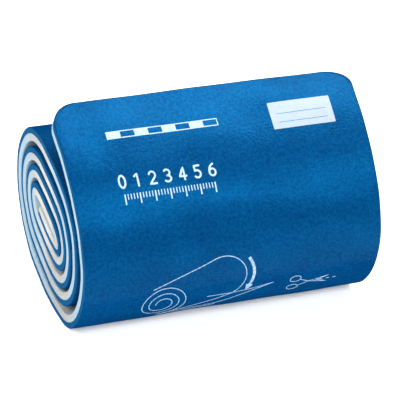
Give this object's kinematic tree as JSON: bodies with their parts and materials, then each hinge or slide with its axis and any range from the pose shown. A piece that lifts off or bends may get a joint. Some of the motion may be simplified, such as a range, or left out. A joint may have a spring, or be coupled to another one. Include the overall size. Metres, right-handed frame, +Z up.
{
  "type": "padded splint",
  "caption": "Rolled padded splint: a strip of soft foam, blue outside and white inside, wound into an oval roll with a free end and a blank label.",
  "frame": {"origin": "centre of the roll's box at its base, on the surface that it rests on", "axes": "+X along the roll's axis, to the label's end; -Y to the front, where the free end lies; +Z up"},
  "size_m": [0.1024, 0.0748, 0.0723],
  "materials": {
    "blue_foam": "satin",
    "white_foam": "matte",
    "label_film": "satin"
  },
  "bodies": {
    "root": {"outer_foam": "blue_foam", "inner_foam": "white_foam", "label_panel": "label_film"}
  },
  "joints": []
}
